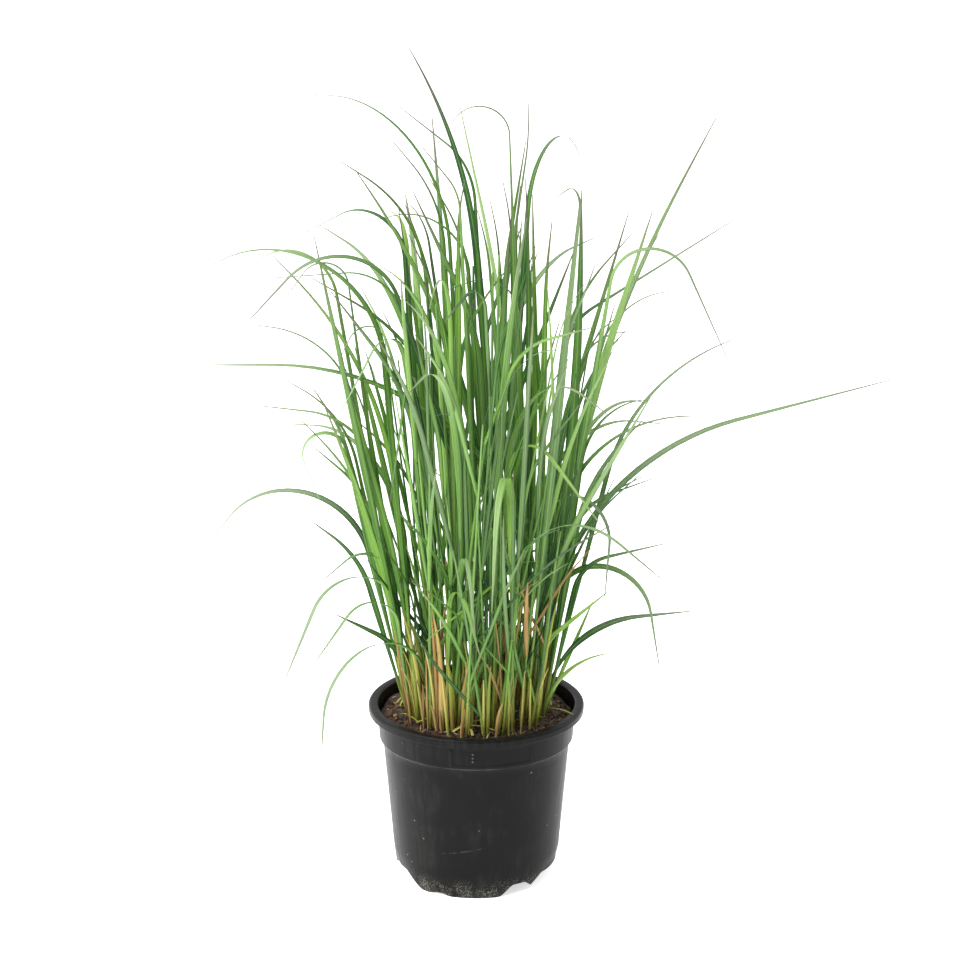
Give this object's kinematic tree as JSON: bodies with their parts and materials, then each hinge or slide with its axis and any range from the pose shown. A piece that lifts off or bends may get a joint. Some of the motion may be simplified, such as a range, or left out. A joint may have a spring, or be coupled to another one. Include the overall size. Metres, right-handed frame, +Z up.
{
  "type": "potted ornamental grass clump",
  "caption": "Upright clump of ornamental grass with fine arching leaves and dry basal sheaths, growing in a round black plastic nursery pot",
  "frame": {"origin": "centre of the pot's flat standing pad, on the pot's axis and on the surface that the pot stands on", "axes": "+Z up along the pot's axis, -Y to the front, +X to the right seen from the front"},
  "size_m": [0.6188, 0.5442, 0.7397],
  "materials": {
    "pot_plastic": "satin black moulded plastic, scuffed, with pale dirt along the foot",
    "bark_mix": "moist dark brown bark and peat with straw bits",
    "leaf_green": "living grass blade, satin, mid to deep green with a pale midrib and purple-brown tips",
    "culm_green": "living grass stem, satin, yellow-green at the foot",
    "dry_straw": "dry papery straw, tan to orange"
  },
  "bodies": {
    "root": {"pot": "pot_plastic", "potting_mix": "bark_mix", "culm_1": "culm_green", "culm_2": "culm_green", "culm_3": "culm_green", "culm_4": "culm_green", "culm_5": "culm_green", "culm_6": "culm_green", "culm_7": "culm_green", "culm_8": "culm_green", "dry_sheath_1": "dry_straw", "dry_sheath_2": "dry_straw", "dry_sheath_3": "dry_straw", "dry_sheath_4": "dry_straw", "leaf_back_far_left": "leaf_green", "leaf_back_far_right": "leaf_green", "leaf_back_left": "leaf_green", "leaf_back_long": "leaf_green", "leaf_back_low": "leaf_green", "leaf_back_right": "leaf_green", "leaf_back_tall": "leaf_green", "leaf_far_left": "leaf_green", "leaf_far_right": "leaf_green", "leaf_front_far_right": "leaf_green", "leaf_front_left": "leaf_green", "leaf_front_long": "leaf_green", "leaf_front_low": "leaf_green", "leaf_front_right": "leaf_green", "leaf_front_tall": "leaf_green", "leaf_left_arch": "leaf_green", "leaf_left_broad": "leaf_green", "leaf_left_front": "leaf_green", "leaf_left_high_arch": "leaf_green", "leaf_left_hooked": "leaf_green", "leaf_left_low": "leaf_green", "leaf_left_lowest": "leaf_green", "leaf_left_short": "leaf_green", "leaf_left_tall_back": "leaf_green", "leaf_left_tall_front": "leaf_green", "leaf_left_upright": "leaf_green", "leaf_right_arch": "leaf_green", "leaf_right_back_hook": "leaf_green", "leaf_right_broad": "leaf_green", "leaf_right_front": "leaf_green", "leaf_right_low": "leaf_green", "leaf_right_low_hook": "leaf_green", "leaf_right_thin": "leaf_green", "leaf_tallest": "leaf_green", "leaf_top_back": "leaf_green", "leaf_top_crossing": "leaf_green", "leaf_top_hooked_back": "leaf_green", "leaf_top_hooked_front": "leaf_green", "leaf_top_hooked_left": "leaf_green", "leaf_top_left_thin": "leaf_green", "leaf_top_right": "leaf_green"}
  },
  "joints": []
}
